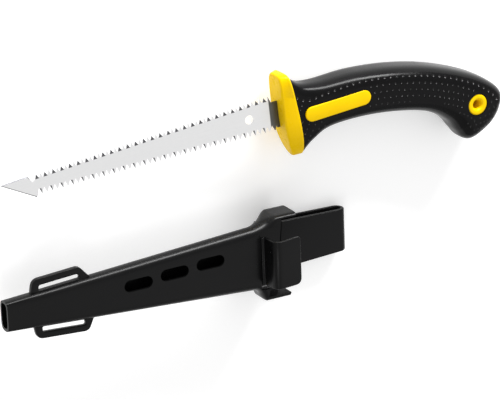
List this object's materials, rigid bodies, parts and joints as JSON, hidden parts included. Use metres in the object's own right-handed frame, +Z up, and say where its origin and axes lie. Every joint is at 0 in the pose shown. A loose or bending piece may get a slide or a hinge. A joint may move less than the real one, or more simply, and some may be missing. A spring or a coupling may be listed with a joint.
{
  "type": "drywall saw",
  "caption": "Double-edged drywall jab saw with an arrow point, guard and curved soft grip, lying beside its tapered belt sheath with a sprung latch tongue.",
  "frame": {"origin": "centre of the whole set's bounding box, on the floor that the grip's side and the belt loop's back lie on", "axes": "+X from the blade's point to the grip's butt, +Y towards the back of the handle and the fine teeth, +Z up from the floor, along the hang eyelet"},
  "size_m": [0.324, 0.1284, 0.0387],
  "materials": {
    "blade_steel": "satin ground steel",
    "hard_plastic": "smooth yellow moulding",
    "soft_grip": "black soft overmould with pitted sides",
    "sheath_plastic": "satin black moulding"
  },
  "bodies": {
    "saw": {"blade": "blade_steel", "core": "hard_plastic", "guard": "hard_plastic", "grip": "soft_grip", "eyelet": "hard_plastic", "badge_upper": "hard_plastic", "badge_lower": "hard_plastic"},
    "sheath": {"sheath_sleeve": "sheath_plastic", "sheath_collar": "sheath_plastic", "strap_loop_back": "sheath_plastic", "strap_loop_belly": "sheath_plastic", "belt_loop": "sheath_plastic"},
    "latch": {"latch_tongue": "sheath_plastic"}
  },
  "joints": [
    {"name": "sheath_draw", "type": "slide", "parent": "saw", "child": "sheath", "axis": [-0.9966, 0.0819, 0], "range_m": [0, 0.175]},
    {"name": "latch_flex", "type": "hinge", "parent": "sheath", "child": "latch", "pos_m": [-0.00699, -0.0374, 0.02615], "axis": [-0.0819, -0.9966, 0], "range_deg": [0, 10], "stiffness_Nm_per_rad": 0.5}
  ]
}
